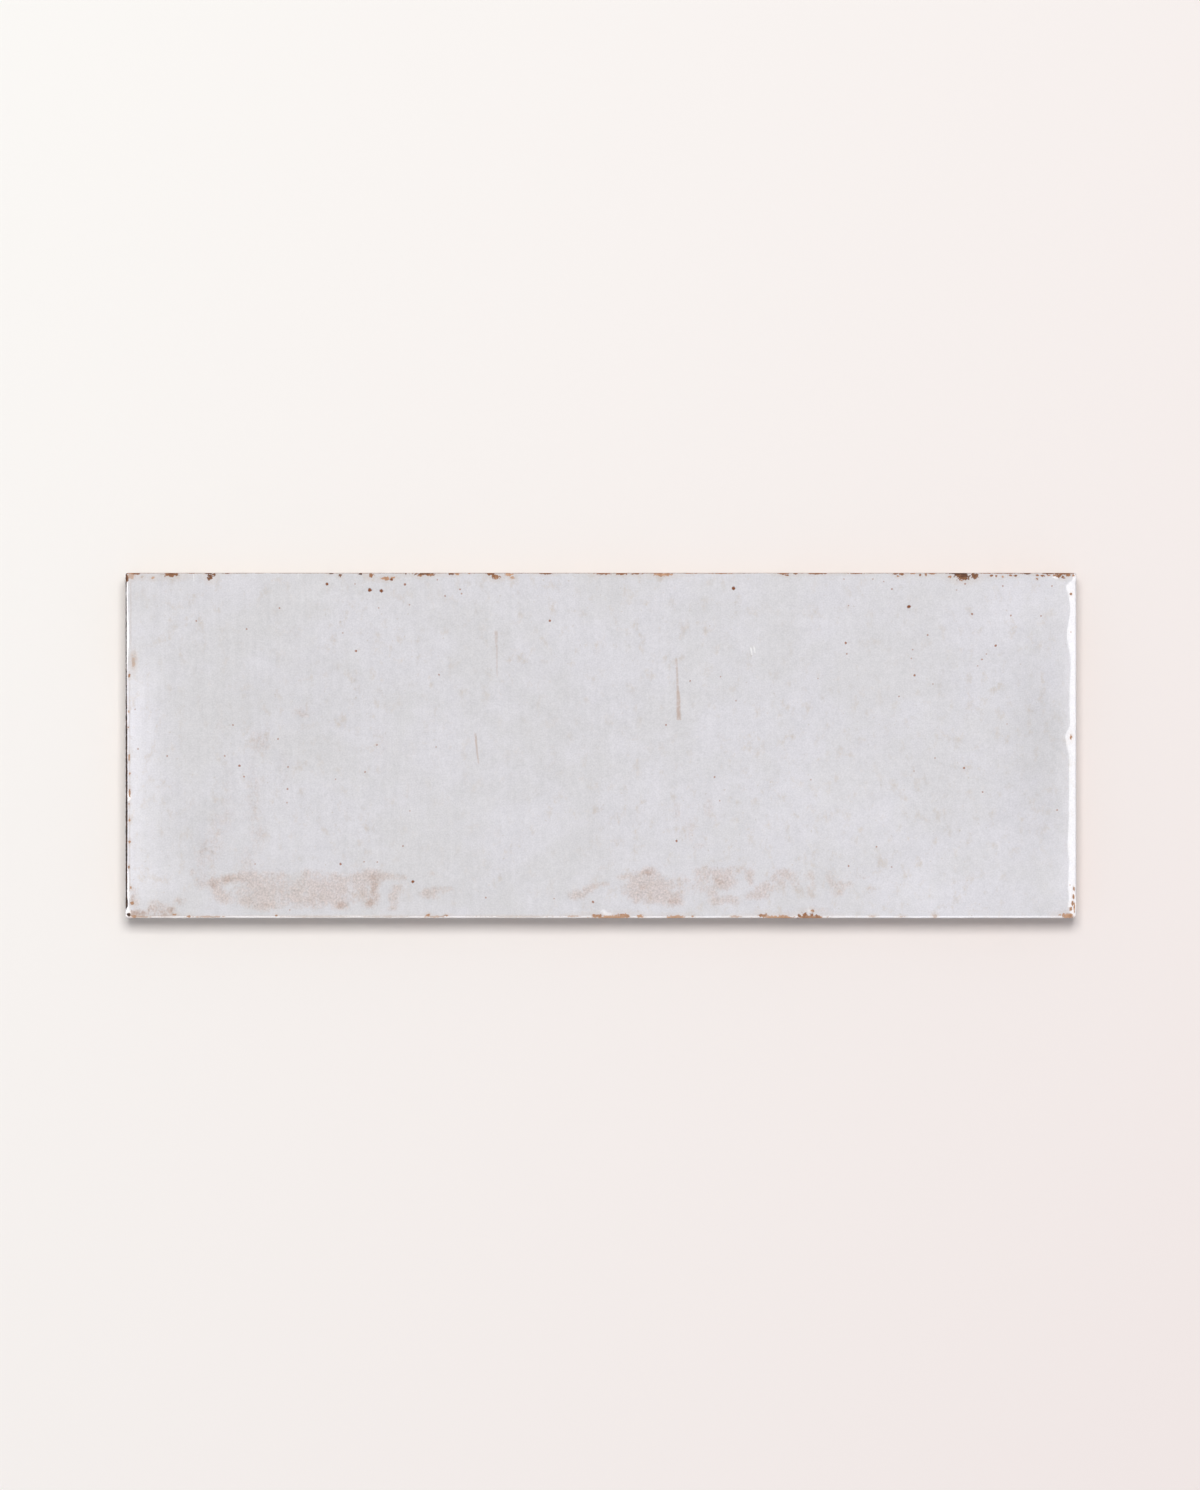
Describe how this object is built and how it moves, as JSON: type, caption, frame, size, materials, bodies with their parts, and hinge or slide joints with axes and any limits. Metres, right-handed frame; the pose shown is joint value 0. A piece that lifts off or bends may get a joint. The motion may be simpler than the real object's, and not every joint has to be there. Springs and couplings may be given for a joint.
{
  "type": "porcelain brick tile",
  "caption": "Flat oblong porcelain brick tile with a softly waved pale grey glazed face, rolled worn edges and a keyed back that beds on a wall or floor.",
  "frame": {"origin": "middle of the back, level with the tops of its keying ribs", "axes": "+X along the tile, +Y across it, +Z out of the glazed face"},
  "size_m": [0.2, 0.0726, 0.009],
  "materials": {
    "glaze": "gloss pale grey glaze over a buff body, worn brown along the edges"
  },
  "bodies": {
    "root": {"brick_tile": "glaze"}
  },
  "joints": []
}
